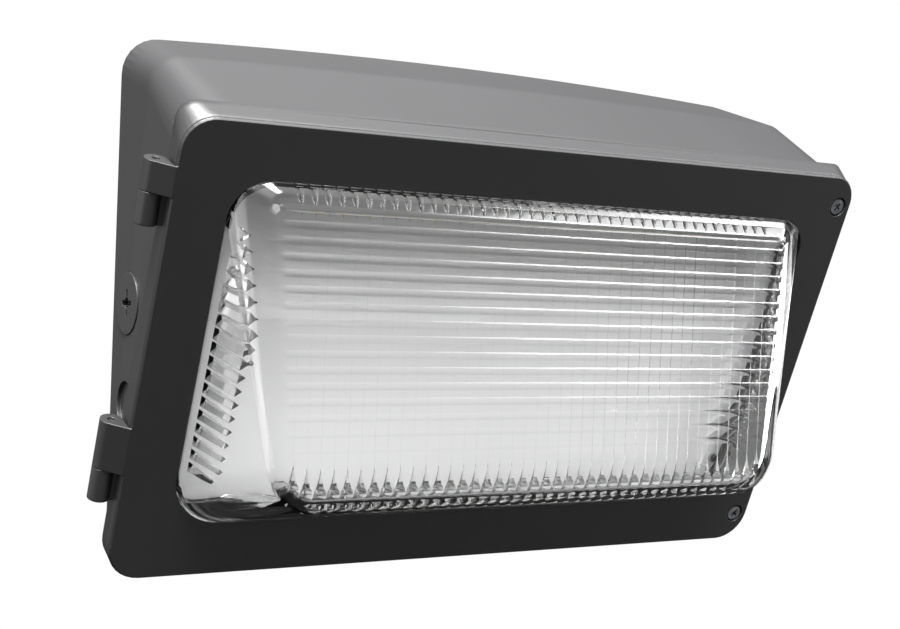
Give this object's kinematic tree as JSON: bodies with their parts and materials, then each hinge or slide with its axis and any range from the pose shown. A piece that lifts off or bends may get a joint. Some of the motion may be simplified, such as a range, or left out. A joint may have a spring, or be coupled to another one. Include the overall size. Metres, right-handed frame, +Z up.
{
  "type": "wall pack light",
  "caption": "Outdoor wall pack light: die-cast housing with a sloped hood and a leaning side-hinged door that holds a ribbed prismatic glass over a white liner.",
  "frame": {"origin": "centre of the four wall screws, on the wall plane", "axes": "+X to the right of someone facing the light, +Y into the wall, +Z up"},
  "size_m": [0.3713, 0.0912, 0.2413],
  "materials": {
    "cast_housing": "charcoal powder coat on die-cast aluminium",
    "cast_door": "near-black powder coat on die-cast aluminium",
    "zinc_steel": "zinc plated",
    "silicone_seal": "moulded silicone",
    "pressed_glass": "clear pressed glass",
    "white_liner": "gloss white enamel on sheet",
    "mill_aluminium": "mill finish",
    "board_mask": "white solder mask",
    "phosphor": "yellow phosphor under silicone",
    "nylon": "natural moulded nylon",
    "black_plastic": "moulded",
    "lead_jacket": "extruded jacket",
    "green_steel": "green passivated"
  },
  "bodies": {
    "housing": {"housing": "cast_housing", "conduit_plugs": "cast_housing", "hinge_pins": "zinc_steel", "reflector": "white_liner", "reflector_screws": "zinc_steel", "heat_shelf": "mill_aluminium", "shelf_screws": "zinc_steel", "led_board": "board_mask", "led_packages": "phosphor", "board_screws": "zinc_steel", "board_connector": "nylon", "driver_case": "mill_aluminium", "driver_end_caps": "black_plastic", "driver_screws": "zinc_steel", "terminal_block": "nylon", "terminal_screws": "zinc_steel", "ground_screw": "green_steel", "input_leads": "lead_jacket", "output_leads": "lead_jacket"},
    "door": {"door_frame": "cast_door", "door_gasket": "silicone_seal", "refractor": "pressed_glass", "refractor_gasket": "silicone_seal", "glass_clips": "zinc_steel", "clip_screws": "zinc_steel", "screw_retainers": "nylon"},
    "upper_screw": {"door_screw_upper": "zinc_steel"},
    "lower_screw": {"door_screw_lower": "zinc_steel"}
  },
  "joints": [
    {"name": "door_hinge", "type": "hinge", "parent": "housing", "child": "door", "pos_m": [-0.186, -0.0432, -0.02244], "axis": [0, 0.3746, -0.9272], "range_deg": [0, 110]},
    {"name": "upper_screw_slide", "type": "slide", "parent": "door", "child": "upper_screw", "axis": [0, -0.9272, -0.3746], "range_m": [0, 0.005]},
    {"name": "lower_screw_slide", "type": "slide", "parent": "door", "child": "lower_screw", "axis": [0, -0.9272, -0.3746], "range_m": [0, 0.005]}
  ]
}
